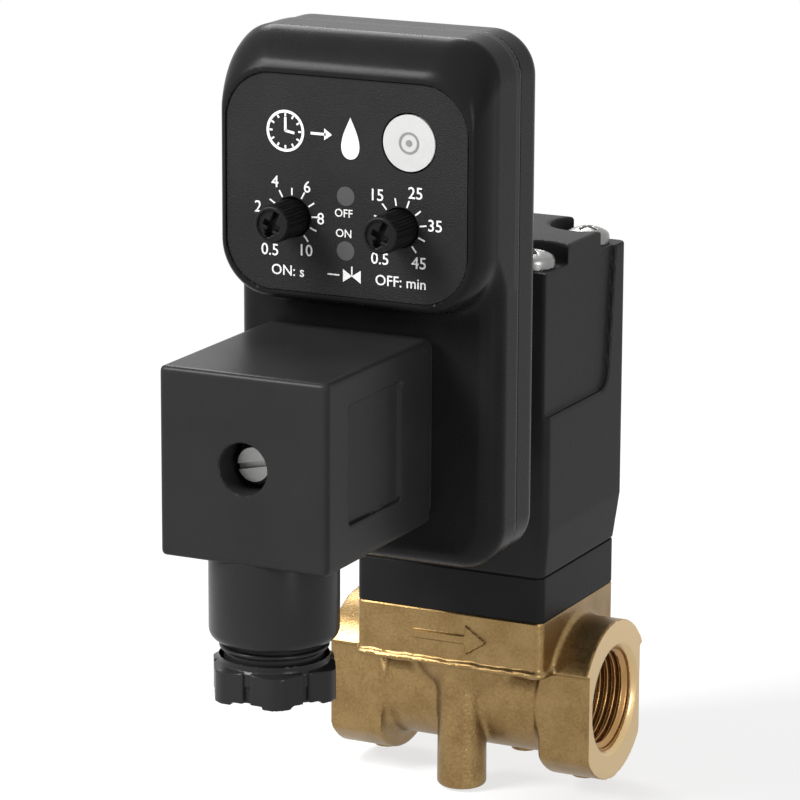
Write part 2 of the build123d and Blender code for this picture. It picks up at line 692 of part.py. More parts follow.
pin_tip = t_front - 8.6
with BuildPart() as plug_pins:
    with BuildSketch(front(board_front)):
        with Locations((plug_x - 9, plug_z), (plug_x + 9, plug_z)):
            Rectangle(0.8, 6.3)
        with Locations((plug_x, plug_z - 9), (plug_x, plug_z + 9)):
            Rectangle(6.3, 0.8)
    extrude(amount=board_front - pin_tip)
plug_pins.part.label = "plug_pins"
export_step(plug_pins.part, "parts/plug_pins.step")

# ================= cable plug =================
with BuildPart() as plug_gasket:
    with BuildSketch(front(t_front)):
        with Locations((plug_x, plug_z)):
            RectangleRounded(plug_w - 0.8, plug_h - 0.8, 1.6)
        with Locations((plug_x - 9, plug_z), (plug_x + 9, plug_z)):
            Rectangle(1.2, 6.7, mode=Mode.SUBTRACT)
        with Locations((plug_x, plug_z - 9), (plug_x, plug_z + 9)):
            Rectangle(6.7, 1.2, mode=Mode.SUBTRACT)
        with Locations((plug_x, plug_z)):
            Circle(1.8, mode=Mode.SUBTRACT)
    extrude(amount=t_front - plug_rear)
plug_gasket.part.label = "plug_gasket"
export_step(plug_gasket.part, "parts/plug_gasket.step")

insert_front = plug_rear - 17.0
with BuildPart() as plug_housing:
    with BuildSketch(front(plug_rear)):
        with Locations((plug_x, plug_z)):
            Rectangle(plug_w, plug_h)
    extrude(amount=plug_rear - plug_front)
    box_edges = [e for e in plug_housing.edges() if e.center().Y < plug_rear - 0.1]
    fillet(box_edges, 1.3)
    # window recess on both cheeks
    for side in (-1, 1):
        with BuildSketch(across(plug_x + side * plug_w / 2)):
            with Locations((-65.2, 55.2)):
                Rectangle(17.4, 18.4)
        extrude(amount=-side * 0.45, mode=Mode.SUBTRACT)
    # hollow for the terminal insert and the wires, open to the rear and down through the neck
    with BuildSketch(front(plug_rear)):
        with Locations((plug_x, plug_z)):
            Rectangle(plug_w - 2 * plug_wall, plug_h - 2 * plug_wall)
    extrude(amount=plug_rear - plug_front - 3.0, mode=Mode.SUBTRACT)
    with BuildSketch(level(plug_floor)):
        with Locations((plug_x, neck_y)):
            Circle(6.2)
    extrude(amount=6, mode=Mode.SUBTRACT)
    # pillar for the long screw, with its counterbore in the front
    with BuildSketch(front(insert_front)):
        with Locations((plug_x, plug_z)):
            Circle(5.2)
    extrude(amount=insert_front - plug_front - 1.0)
    with BuildSketch(front(plug_front)):
        with Locations((plug_x, plug_z)):
            Circle(3.95)
    extrude(amount=-6.6, mode=Mode.SUBTRACT)
    with BuildSketch(front(insert_front)):
        with Locations((plug_x, plug_z)):
            Circle(1.8)
    extrude(amount=insert_front - plug_front, mode=Mode.SUBTRACT)
plug_housing.part.label = "plug_housing"
export_step(plug_housing.part, "parts/plug_housing.step")

# cable neck under the front part of the box, with the collar and thread stub for the gland nut
with BuildPart() as plug_neck:
    with BuildSketch(Plane(origin=(xc + plug_x, neck_y, 0), x_dir=(1, 0, 0), z_dir=(0, -1, 0))):
        with BuildLine():
            Polyline((6.2, plug_floor), (neck_r, plug_floor), (neck_r, neck_bottom + 1.9),
                     (neck_r - 0.5, neck_bottom + 0.7), (neck_r - 1.4, neck_bottom), (collar_r, neck_bottom),
                     (collar_r, collar_bottom), (thread_r, collar_bottom), (thread_r, thread_bottom + 0.4),
                     (thread_r - 0.4, thread_bottom), (6.2, thread_bottom), (6.2, plug_floor))
        make_face()
    revolve(axis=valve_axis(plug_x, neck_y))
plug_neck.part.label = "plug_neck"
export_step(plug_neck.part, "parts/plug_neck.step")

with BuildPart() as terminal_insert:
    with BuildSketch(front(plug_rear - 0.1)):
        with Locations((plug_x, plug_z)):
            Rectangle(plug_w - 2 * plug_wall - 0.3, plug_h - 2 * plug_wall - 0.3)
            Circle(1.8, mode=Mode.SUBTRACT)
        with Locations((plug_x - 9, plug_z), (plug_x + 9, plug_z)):
            Rectangle(4.2, 7.6, mode=Mode.SUBTRACT)
        with Locations((plug_x, plug_z - 9), (plug_x, plug_z + 9)):
            Rectangle(7.6, 4.2, mode=Mode.SUBTRACT)
    extrude(amount=plug_rear - insert_front - 0.1)
terminal_insert.part.label = "terminal_insert"
export_step(terminal_insert.part, "parts/terminal_insert.step")

with BuildPart() as terminal_clamps:
    with BuildSketch(front(plug_rear - 0.5)):
        with Locations((plug_x - 9, plug_z), (plug_x + 9, plug_z)):
            Rectangle(4.0, 7.4)
            Rectangle(0.82, 6.6, mode=Mode.SUBTRACT)
        with Locations((plug_x, plug_z - 9), (plug_x, plug_z + 9)):
            Rectangle(7.4, 4.0)
            Rectangle(6.6, 0.82, mode=Mode.SUBTRACT)
    extrude(amount=12.5)
terminal_clamps.part.label = "terminal_clamps"
export_step(terminal_clamps.part, "parts/terminal_clamps.step")

with BuildPart() as plug_screw:
    with BuildSketch(front(blade_rear - 0.2)):
        with Locations((plug_x, plug_z)):
            Circle(1.5)
    extrude(amount=blade_rear - 0.2 - (plug_front + 5.6))
    with BuildSketch(front(plug_front + 5.6)):
        with Locations((plug_x, plug_z)):
            Circle(3.0)
    extrude(amount=2.2)
    chamfer(plug_screw.faces().sort_by(Axis.Y)[0].edges(), 0.4)
    with BuildSketch(front(plug_front + 3.4)):
        with Locations(Location((plug_x, plug_z), 12)):
            Rectangle(8, 0.9)
    extrude(amount=-1.2, mode=Mode.SUBTRACT)
plug_screw.part.label = "plug_screw"
export_step(plug_screw.part, "parts/plug_screw.step")

with BuildPart() as screw_washer:
    with BuildSketch(front(plug_front + 6.6)):
        with Locations((plug_x, plug_z)):
            Circle(3.4)
            Circle(1.6, mode=Mode.SUBTRACT)
    extrude(amount=1.0)
screw_washer.part.label = "screw_washer"
export_step(screw_washer.part, "parts/screw_washer.step")

# ================= cable gland =================
with BuildPart() as gland_seal:
    with BuildSketch(level(nut_floor + 1.3)):
        with Locations((plug_x, neck_y)):
            Circle(6.0)
            Circle(cable_r, mode=Mode.SUBTRACT)
    extrude(amount=8.0)
gland_seal.part.label = "gland_seal"
export_step(gland_seal.part, "parts/gland_seal.step")

with BuildPart() as gland_ring:
    with BuildSketch(level(nut_floor)):
        with Locations((plug_x, neck_y)):
            Circle(5.9)
            Circle(cable_r + 0.4, mode=Mode.SUBTRACT)
    extrude(amount=1.3)
gland_ring.part.label = "gland_ring"
export_step(gland_ring.part, "parts/gland_ring.step")

with BuildPart() as gland_nut:
    with BuildSketch(level(nut_bottom)):
        with Locations((plug_x, neck_y)):
            RegularPolygon(nut_af / 2, 6, major_radius=False, rotation=0)
    extrude(amount=nut_top - nut_bottom)
    # rounded corners on both ends of the hexagon
    with BuildSketch(Plane(origin=(xc + plug_x, neck_y, 0), x_dir=(1, 0, 0), z_dir=(0, -1, 0))):
        with BuildLine():
            Polyline((0, nut_bottom), (nut_af / 2 - 0.3, nut_bottom), (nut_af / 2 + 0.95, nut_bottom + 1.2),
                     (nut_af / 2 + 0.95, nut_top - 0.8), (nut_af / 2 - 0.1, nut_top), (0, nut_top),
                     (0, nut_bottom))
        make_face()
    revolve(axis=valve_axis(plug_x, neck_y), mode=Mode.INTERSECT)
    with BuildSketch(level(nut_floor)):
        with Locations((plug_x, neck_y)):
            Circle(thread_r + 0.05)
    extrude(amount=6, mode=Mode.SUBTRACT)
    with BuildSketch(level(nut_bottom)):
        with Locations((plug_x, neck_y)):
            Circle(5.2)
    extrude(amount=2, mode=Mode.SUBTRACT)
gland_nut.part.label = "gland_nut"
export_step(gland_nut.part, "parts/gland_nut.step")
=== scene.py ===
import json
import math
import bpy
import numpy as np
from mathutils import Matrix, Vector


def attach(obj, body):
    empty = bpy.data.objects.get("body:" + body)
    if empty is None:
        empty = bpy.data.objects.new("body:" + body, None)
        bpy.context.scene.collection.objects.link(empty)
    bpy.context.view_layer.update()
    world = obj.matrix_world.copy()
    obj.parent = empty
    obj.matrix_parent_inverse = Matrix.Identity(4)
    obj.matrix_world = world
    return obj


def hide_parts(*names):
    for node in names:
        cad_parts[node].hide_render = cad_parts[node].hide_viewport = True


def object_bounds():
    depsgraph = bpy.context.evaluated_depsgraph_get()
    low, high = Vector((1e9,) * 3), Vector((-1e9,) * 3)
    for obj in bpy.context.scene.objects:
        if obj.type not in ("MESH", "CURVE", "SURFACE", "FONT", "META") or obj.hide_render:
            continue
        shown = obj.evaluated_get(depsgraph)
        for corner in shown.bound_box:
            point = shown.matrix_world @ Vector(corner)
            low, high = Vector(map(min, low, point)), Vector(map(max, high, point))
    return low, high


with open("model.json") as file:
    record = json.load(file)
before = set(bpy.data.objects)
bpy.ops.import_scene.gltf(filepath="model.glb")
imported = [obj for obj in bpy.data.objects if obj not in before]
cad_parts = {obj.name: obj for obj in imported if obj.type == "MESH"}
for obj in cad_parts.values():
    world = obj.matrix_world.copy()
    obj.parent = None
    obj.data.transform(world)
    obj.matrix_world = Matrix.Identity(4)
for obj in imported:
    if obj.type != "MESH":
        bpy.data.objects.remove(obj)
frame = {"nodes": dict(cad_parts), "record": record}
cad_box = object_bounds()
nodes = frame["nodes"]
MM = 0.001
AXIS_X = 21.675          # valve axis along X, in mm from where the inlet's thread begins
HALF = 23.5              # half the body's length


# ---------------------------------------------------------------- shader maths
class Value:
    """A node's output. Arithmetic on it adds Math nodes."""

    def __init__(self, maker, socket):
        self.maker, self.socket = maker, socket

    def __add__(self, other):
        return self.maker.math("ADD", self, other)

    __radd__ = __add__

    def __sub__(self, other):
        return self.maker.math("SUBTRACT", self, other)

    def __rsub__(self, other):
        return self.maker.math("SUBTRACT", other, self)

    def __mul__(self, other):
        return self.maker.math("MULTIPLY", self, other)


class NodeMaker:
    """Adds nodes to one emptied node tree."""

    def __init__(self, tree):
        self.tree = tree
        tree.nodes.clear()

    def node(self, kind, settings, sockets, output=0):
        """Adds a node: its settings first, then the value or link of each named socket."""
        n = self.tree.nodes.new(kind)
        for key, value in settings.items():
            setattr(n, key, value)
        for key, value in sockets.items():
            if isinstance(value, Value):
                self.tree.links.new(value.socket, n.inputs[key])
            else:
                n.inputs[key].default_value = value
        return Value(self, n.outputs[output] if n.outputs else None)

    def math(self, operation, *values):
        return self.node("ShaderNodeMath", {"operation": operation}, dict(enumerate(values)))

    def seen_rays(self):
        """1 for rays from the camera, a mirror-like surface or glass, 0 for the rest."""
        kinds = ("Is Camera Ray", "Is Glossy Ray", "Is Transmission Ray")
        camera_ray, glossy_ray, transmission_ray = (self.node("ShaderNodeLightPath", {}, {}, k) for k in kinds)
        return self.math("MAXIMUM", self.math("MAXIMUM", camera_ray, glossy_ray), transmission_ray)


class Finish(NodeMaker):
    """One material: its nodes, and the Principled shader at the end of them."""

    def __init__(self, name, **fixed):
        self.mat = bpy.data.materials.new(name)
        self.mat.use_nodes = True
        super().__init__(self.mat.node_tree)
        surface = self.node("ShaderNodeBsdfPrincipled", {}, {k.replace("_", " "): v for k, v in fixed.items()})
        self.shader = surface.socket.node
        self.node("ShaderNodeOutputMaterial", {}, {0: surface})
        self.place = self.node("ShaderNodeTexCoord", {}, {}, "Object")
        self.x, self.y, self.z = (self.node("ShaderNodeSeparateXYZ", {}, {0: self.place}, i) for i in range(3))

    def ramp(self, value, low, high):
        """0 below low, 1 above high, smooth between them."""
        return self.node("ShaderNodeMapRange", {"interpolation_type": "SMOOTHSTEP"},
                         {0: value, 1: low, 2: high, 3: 0.0, 4: 1.0})

    def mix(self, a, b, factor):
        """Colour a where factor is 0, colour b where it is 1."""
        rgba = [c if isinstance(c, Value) else (*c, 1.0) for c in (a, b)]
        return self.node("ShaderNodeMix", {"data_type": "RGBA"}, {0: factor, 6: rgba[0], 7: rgba[1]}, 2)

    def noise(self, scale, detail=2.0, rough=0.5, stretch=None):
        """Noise of so many bumps per metre, drawn out along the axes where stretch says."""
        place = self.place
        if stretch:
            place = self.node("ShaderNodeMapping", {}, {0: place, 3: stretch})
        return self.node("ShaderNodeTexNoise", {}, {"Vector": place, "Scale": scale, "Detail": detail,
                                                    "Roughness": rough})

    def cells(self, scale):
        """Distance to the nearest of so many scattered points per metre."""
        return self.node("ShaderNodeTexVoronoi", {"feature": "F1"}, {"Vector": self.place, "Scale": scale})

    def feed(self, **links):
        for socket, value in links.items():
            self.tree.links.new(value.socket, self.shader.inputs[socket.replace("_", " ")])

    def bump(self, height, distance):
        """Raises the surface by height times distance, in metres."""
        self.feed(Normal=self.node("ShaderNodeBump", {}, {"Strength": 1.0, "Distance": distance, "Height": height}))


def moulded(name, colour, roughness, grain=2600.0, depth=0.00003, sheen=0.35, cloud=0.25):
    """Moulded plastic: a fine spark-eroded grain, a little uneven gloss and soft cloudy tone."""
    f = Finish(name, Specular_IOR_Level=sheen, IOR=1.5)
    tone = f.noise(90.0, 3.0)
    fine = f.noise(grain, 2.0, 0.6)
    dark, light = (tuple(c * k for c in colour) for k in (1 - cloud, 1 + cloud))
    f.feed(Base_Color=f.mix(dark, light, f.ramp(tone, 0.3, 0.7)),
           Roughness=roughness + (tone - 0.5) * 0.10 + (fine - 0.5) * 0.08)
    f.bump(fine, depth)
    return f


def metal(name, colour, roughness, grain=1800.0, depth=0.00001, stretch=None):
    """Turned or drawn metal: fine scratches that change the gloss, and a faint tone."""
    f = Finish(name, Metallic=1.0)
    tone = f.noise(160.0, 3.0)
    fine = f.noise(grain, 3.0, 0.6, stretch)
    f.feed(Base_Color=f.mix(tuple(c * 0.82 for c in colour), colour, f.ramp(tone, 0.3, 0.65)),
           Roughness=roughness + (fine - 0.5) * 0.22)
    f.bump(fine, depth)
    return f


def cast_brass():
    """Tumbled cast brass: grainy skin with small pits and stains; the port faces and bores are machined."""
    f = Finish("cast_brass", Metallic=1.0)
    grit = f.noise(2300.0, 4.0, 0.65)
    blotch = f.noise(210.0, 4.0, 0.6)
    pits = f.ramp(f.cells(900.0), 0.0, 0.25)
    along = f.math("ABSOLUTE", f.x - AXIS_X * MM)
    face = f.ramp(along, (HALF - 0.09) * MM, (HALF - 0.02) * MM)
    radius = f.math("SQRT", f.y * f.y + f.z * f.z)
    bore = f.ramp(along, 9.6 * MM, 9.7 * MM) * (1 - f.ramp(radius, 9.29 * MM, 9.33 * MM))
    cut = f.math("MAXIMUM", face, bore)
    rings = f.math("SINE", radius * 42000.0) * 0.5 + 0.5
    stain = f.ramp(blotch * 0.45 + grit * 0.55, 0.32, 0.66)
    rough_colour = f.mix((0.205, 0.128, 0.050), (0.305, 0.205, 0.090), stain)
    f.feed(Base_Color=f.mix(rough_colour, (0.62, 0.45, 0.235), cut),
           Roughness=(0.36 + (grit - 0.5) * 0.3) * (1 - cut) + (0.27 + rings * 0.06) * cut)
    height = (grit * 0.8 + pits * 0.5) * (1 - cut) + rings * 0.08 * cut
    f.bump(height, 0.00006)
    return f


finishes = {
    "brass": cast_brass(),
    "brass_turned": metal("turned_brass", (0.46, 0.27, 0.11), 0.3),
    "rubber_black": moulded("black_rubber", (0.012, 0.012, 0.012), 0.7, 1500.0, sheen=0.25),
    "rubber_red": moulded("seal_rubber", (0.28, 0.03, 0.02), 0.6, 1500.0),
    "steel_spring": metal("spring_steel", (0.55, 0.55, 0.54), 0.3),
    "plastic_flange": moulded("bonnet_plastic", (0.010, 0.010, 0.0102), 0.42, 2200.0, sheen=0.06, cloud=0.12),
    "stainless": metal("stainless_steel", (0.6, 0.6, 0.59), 0.3, 1500.0, stretch=(1, 1, 0.05)),
    "plastic_bobbin": moulded("bobbin_plastic", (0.02, 0.02, 0.02), 0.5),
    "copper_winding": metal("copper_winding", (0.6, 0.22, 0.08), 0.35, 1200.0, stretch=(0.05, 0.05, 1)),
    "steel_zinc": metal("zinc_plated_steel", (0.5, 0.5, 0.5), 0.35),
    "plastic_housing": moulded("housing_plastic", (0.015, 0.015, 0.0152), 0.42, 2400.0, sheen=0.05, cloud=0.12),
    "screw_zinc": metal("bright_zinc", (0.27, 0.27, 0.265), 0.34, 2600.0, 0.00003),
    "tinned_brass": metal("tinned_brass", (0.62, 0.58, 0.48), 0.32),
    "plastic_timer": moulded("timer_plastic", (0.009, 0.009, 0.0092), 0.27, 2600.0, 0.000010, sheen=0.05, cloud=0.08),
    "plastic_insert": moulded("insert_plastic", (0.03, 0.03, 0.03), 0.5),
    "label_black": moulded("label_film", (0.012, 0.012, 0.012), 0.42, 4200.0, 0.00012, sheen=0.12, cloud=0.1),
    "plastic_knob": moulded("knob_plastic", (0.006, 0.006, 0.006), 0.42, 2400.0, sheen=0.12),
    "plastic_component": moulded("component_plastic", (0.03, 0.035, 0.05), 0.5),
    "plastic_white": moulded("white_key", (0.37, 0.37, 0.365), 0.5, 2000.0, 0.00001, sheen=0.3, cloud=0.02),
    "lamp_lens": moulded("lamp_lens", (0.05, 0.05, 0.05), 0.3, 1500.0, 0.00002, cloud=0.1),
    "board_green": moulded("board_green", (0.01, 0.11, 0.04), 0.35, 1500.0, cloud=0.3),
    "plastic_plug": moulded("plug_plastic", (0.0155, 0.0155, 0.0157), 0.33, 2400.0, 0.000016, sheen=0.08, cloud=0.06),
}
white_print = moulded("white_print", (0.60, 0.60, 0.59), 0.5, 2400.0, 0.000004, cloud=0.04)
grey_print = moulded("grey_print", (0.16, 0.16, 0.16), 0.5, 2400.0, 0.000004, cloud=0.04)
# Darker copy of the plug plastic for the neck and nut: its lower base colour is painted shade, while its lower
# roughness and higher sheen are the finish's own.
neck_nut_painted_shade_finish = moulded("plug_plastic_painted_shade", (0.012, 0.012, 0.0122), 0.3, 2400.0, 0.000008, sheen=0.16, cloud=0.06)
slot_of = {s["node"]: s["material_slot"] for s in frame["record"]["subparts"]}
for node, obj in nodes.items():
    obj.data.materials.clear()
    obj.data.materials.append(finishes[slot_of[node]].mat)


# ---------------------------------------------------------------- surfaces
def to_mesh(name, verts_mm, faces, slot, replaced=(), body="valve", smooth=32.0, finish=None):
    """A piece from vertices in mm about the valve axis: set in the row frame, shaded smooth below an angle."""
    mesh = bpy.data.meshes.new(name)
    verts = (np.asarray(verts_mm, float) + (AXIS_X, 0, 0)) * MM
    mesh.from_pydata(verts.tolist(), [], [tuple(map(int, f)) for f in faces])
    mesh.update()
    mesh.polygons.foreach_set("use_smooth", np.ones(len(mesh.polygons), bool))
    if smooth < 180:
        mesh.set_sharp_from_angle(angle=math.radians(smooth))
    obj = bpy.data.objects.new(name, mesh)
    bpy.context.collection.objects.link(obj)
    mesh.materials.append((finish or finishes[slot]).mat)
    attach(obj, body)
    if replaced:
        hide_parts(*replaced)
    return obj


def grid_faces(rows, cols):
    """Quads of a rows x cols grid of points, joined round along both directions."""
    i, j = np.arange(rows)[:, None], np.arange(cols)[None, :]
    a, b = i * cols + j, i * cols + (j + 1) % cols
    c, d = (i + 1) % rows * cols + (j + 1) % cols, (i + 1) % rows * cols + j
    return np.stack([a, b, c, d], -1).reshape(-1, 4)


def turned_rings(profile, count=96, at=(0, 0, 0)):
    """Revolves a closed (radius, height) profile: point = radius * (cos t, sin t), height upward."""
    t = np.linspace(0, 2 * math.pi, count, endpoint=False)
    p = np.asarray(profile, float)
    x, y = p[:, :1] * np.cos(t), p[:, :1] * np.sin(t)
    z = np.broadcast_to(p[:, 1:], x.shape)
    return np.stack((x, y, z), -1).reshape(-1, 3) + at, grid_faces(len(p), count)


def blend_union(a, b, k):
    """The nearer of two distances, rounded where they are within k of each other."""
    h = np.clip(0.5 + 0.5 * (b - a) / k, 0, 1)
    return b + (a - b) * h - k * h * (1 - h)


def blend_cut(a, b, k):
    """Distance a with the shape of distance b taken away, the new edge rounded over k."""
    return -blend_union(-a, b, k)


def round_box(x, y, half_x, half_y, r):
    """Signed distance to a rectangle with corner radius r: outside length plus inside depth, less r."""
    qx, qy = np.abs(x) - (half_x - r), np.abs(y) - (half_y - r)
    return np.hypot(np.maximum(qx, 0), np.maximum(qy, 0)) + np.minimum(np.maximum(qx, qy), 0) - r


def slab(z, low, high):
    """Distance to the space between two heights."""
    return np.maximum(low - z, z - high)


def stand(flat, z, low, high, r=0.0):
    """A flat outline stood up between two heights, its rims rounded by r."""
    a, b = flat + r, slab(z, low, high) + r
    return np.minimum(np.maximum(a, b), 0) + np.hypot(np.maximum(a, 0), np.maximum(b, 0)) - r


def shifted(grid, corner, cells):
    """The grid's value at one corner of every cell."""
    return grid[tuple(slice(c, c + n) for c, n in zip(corner, cells))]


def skin(field, low, high, step, rounds=3):
    """Surface where a distance field is zero, on a box of cells.

    Each cell whose corners differ in sign gets one vertex, the mean of its edges' crossings; each grid
    edge that crosses joins its four cells; the vertices then slide down the gradient onto zero."""
    axes = [np.arange(a, b + step, step) for a, b in zip(low, high)]
    f = field(*np.meshgrid(*axes, indexing="ij", sparse=True)).astype(np.float32)
    inside = f < 0
    cells = tuple(n - 1 for n in f.shape)
    total, count = np.zeros(cells + (3,), np.float32), np.zeros(cells, np.float32)
    corners = [(i, j, k) for i in (0, 1) for j in (0, 1) for k in (0, 1)]
    for a in corners:
        for axis in range(3):
            if a[axis]:
                continue
            b = tuple(v + (n == axis) for n, v in enumerate(a))
            fa, fb = shifted(f, a, cells), shifted(f, b, cells)
            hit = shifted(inside, a, cells) != shifted(inside, b, cells)
            t = np.where(hit, fa / np.where(hit, fa - fb, 1), 0)
            for n in range(3):
                total[..., n] += np.where(hit, a[n] + (t if n == axis else 0), 0)
            count += hit
    used = count > 0
    index = np.full(cells, -1, np.int64)
    index[used] = np.arange(used.sum())
    where = np.argwhere(used)
    verts = np.array(low) + (where + total[used] / count[used][:, None]) * step
    faces = []
    for axis in range(3):
        u, v = (axis + 1) % 3, (axis + 2) % 3
        lo = [slice(None)] * 3
        hi = [slice(None)] * 3
        lo[axis], hi[axis] = slice(None, -1), slice(1, None)
        for n in (u, v):
            lo[n] = hi[n] = slice(1, -1)
        first, second = inside[tuple(lo)], inside[tuple(hi)]
        for mask, flip in ((first & ~second, False), (~first & second, True)):
            p = np.argwhere(mask)
            p[:, u] += 1
            p[:, v] += 1
            quad = []
            for du, dv in ((-1, -1), (0, -1), (0, 0), (-1, 0)):
                q = p.copy()
                q[:, u] += du
                q[:, v] += dv
                quad.append(index[tuple(q.T)])
            quad = np.stack(quad, -1)
            faces.append(quad[:, ::-1] if flip else quad)
    reach = 0.02
    for _ in range(rounds):
        value = np.clip(field(*verts.T), -step, step)[:, None]
        slope = np.stack([(field(*(verts + d).T) - field(*(verts - d).T)) / (2 * reach)
                          for d in np.eye(3) * reach], -1)
        verts = verts - value * slope / np.maximum((slope ** 2).sum(1), 0.05)[:, None]
    return verts, np.concatenate(faces)


# ---------------------------------------------------------------- places shared by several pieces, in mm
FLANGE = (16.7, 14.75, 1.4)              # half sizes and corner radius
FLANGE_TOP = 15.7
SCREW_X, SCREW_Y, HEAD_Z = 12.6, 10.9, 73.6
BOSS_Y = -8.9
LABEL_Z = 92.05
LABEL = (20.35, 16.75, 7.7)              # recess for the label: half sizes, corner
KNOB_X, KNOB_Z = 9.1, 86.8
KEY_X, KEY_Z = 10.6, 99.8
PLUG_X, PLUG_Z = -2.2, 54.7              # middle of the connector and of the socket block
SOCKET = (13.75, 13.75, 2.0)             # socket block: half sizes and corner radius
BLADE = 9.0                              # from the connector's middle to each blade
GLAND_Y = -71.1
TOP = 115.1                              # upper end of the timer case
SPLIT_Y = -37.5                          # where the case's halves meet
PRINT_BACK = -51.85


def screw_holes(x, y, r):
    """Distance to the four upright holes of the long screws."""
    return np.hypot(np.abs(x) - SCREW_X, np.abs(y) - SCREW_Y) - r


def casting(x, y, z):
    """Brass body: collars, waist, flange, boss and chamber bowl melted together, then drilled."""
    ax, ay = np.abs(x), np.abs(y)
    rho = np.hypot(y, z)
    waist = np.maximum(rho - 10.2, ax - 22)
    collar = blend_cut(rho - 13.3, np.maximum(10.4 - ay, z - 6.6), 0.5)
    collar = blend_cut(collar, ax - 14.2, 0.9)
    body = blend_union(waist, collar, 1.5)
    ledge = np.hypot(np.maximum(ay - 10.6, 10.2 - ay), z - 6.75) - 0.42
    body = blend_union(body, np.maximum(ledge, np.maximum(13 - ax, ax - HALF + 1)), 0.4)
    bowl = (np.sqrt(x ** 2 + y ** 2 + ((z - 6) * 1.35) ** 2) - 12.6) * 0.8
    body = blend_union(body, bowl, 0.8)
    boss = stand(np.hypot(x, y - BOSS_Y) - 4.1 + (z + 15.3) * 0.006, z, -15.3, 8, 0.8)
    body = blend_union(body, boss, 0.9)
    for px, r in ((-18.0, 13.7), (7.4, 10.62), (18.4, 13.7)):
        body = blend_union(body, stand(np.hypot(x - px, y) - 2.3, -z, 6, r, 0.2), 0.25)
    rim = round_box(x, y, *FLANGE)
    flange = stand(rim, z, 6.9, FLANGE_TOP)
    body = blend_union(body, flange, 1.2)
    wave = 0.07 * np.sin(x * 0.7 + y * 0.5) + 0.04 * np.sin(x * 2.1 - y * 1.6)
    bead = np.hypot(rim - 0.1, z - 6.95 - wave) - 0.55 - 0.04 * np.sin(x * 1.1 + y)
    body = blend_union(body, bead, 0.4)
    # raised flow arrow on the flange's front and back
    shaft = round_box(x + 1.4, z - 11.4, 4.9, 0.65, 0.2)
    head = np.maximum((x - 7.0) * 0.543 + np.abs(z - 11.4) * 0.84, 3.2 - x)
    arrow = np.maximum(np.minimum(shaft, head), np.abs(ay - FLANGE[1]) - 0.45)
    body = blend_union(body, arrow, 0.12)
    body = np.maximum(body, np.maximum(ax - HALF, z - FLANGE_TOP))
    inner = np.where(ax > HALF - 12.5, 8.5, 4.5)
    bore = np.maximum(rho - inner, np.where(x < 0, 6.0 - ax, -ax))
    sink = (rho - 9.3 + (HALF - ax)) * 0.707
    chamber = np.maximum(np.hypot(x, y) - 11.0, 8.4 - z)
    seat = np.maximum(np.hypot(x, y) - 5.6, z - 12.6)
    chamber = np.maximum(chamber, -seat)
    clamp = np.maximum(np.hypot(x, y) - 12.8, 14.3 - z)
    down = np.maximum(np.hypot(x, y) - 3.6, np.abs(z - 8) - 8)
    rise = np.maximum(np.hypot(x + 8.4, y) - 2.3, np.abs(z - 5) - 5)
    tapped = np.maximum(np.hypot(x, y - BOSS_Y) - 2.1, z + 6.3)
    bolts = np.maximum(screw_holes(x, y, 2.0), 8.6 - z)
    for hole in (bore, np.maximum(sink, HALF - 4 - ax), chamber, clamp, down, rise, tapped, bolts):
        body = np.maximum(body, -hole)
    return body


verts, faces = skin(casting, (-24.5, -16.8, -16.3), (24.5, 16.8, 16.6), 0.34)
to_mesh("valve_casting", verts, faces, "brass", ["valve_body"], smooth=40)


def port_thread(name, side):
    """Inside thread: radius = minor + depth * (1 - tooth), where the tooth follows distance / pitch plus
    angle / turn, closed into a ring by an outer wall sunk in the brass."""
    pitch, minor, depth, count = 1.337, 7.475, 0.856, 96
    t = np.linspace(0, 2 * math.pi, count, endpoint=False)[None, :]
    d = np.linspace(1.15, 12.5, 150)[:, None]
    phase = (d / pitch + side * t / (2 * math.pi)) % 1.0
    tooth = np.clip(1.25 - np.abs(phase - 0.5) * 3.1, 0, 1)
    fade = np.clip((d - 1.1) / 1.0, 0, 1)
    cut = minor + depth * (1 - tooth) * np.clip((12.4 - d) / 1.2, 0, 1)
    r = np.minimum(cut, 8.40) * fade + (1 - fade) * 8.45
    r = np.maximum(r, np.clip(9.3 - d, 0, 8.45) * (d < 1.9))
    d = np.broadcast_to(d, r.shape)
    rim = np.full((1, count), 8.62)
    r = np.concatenate([rim, r, rim])
    d = np.concatenate([d[:1], d, d[-1:]])
    pts = np.stack([side * (HALF - d), r * np.cos(t), side * r * np.sin(t)], -1).reshape(-1, 3)
    to_mesh(name, pts, grid_faces(len(r), count), "brass_turned", smooth=60)


port_thread("inlet_thread", -1)
port_thread("outlet_thread", 1)


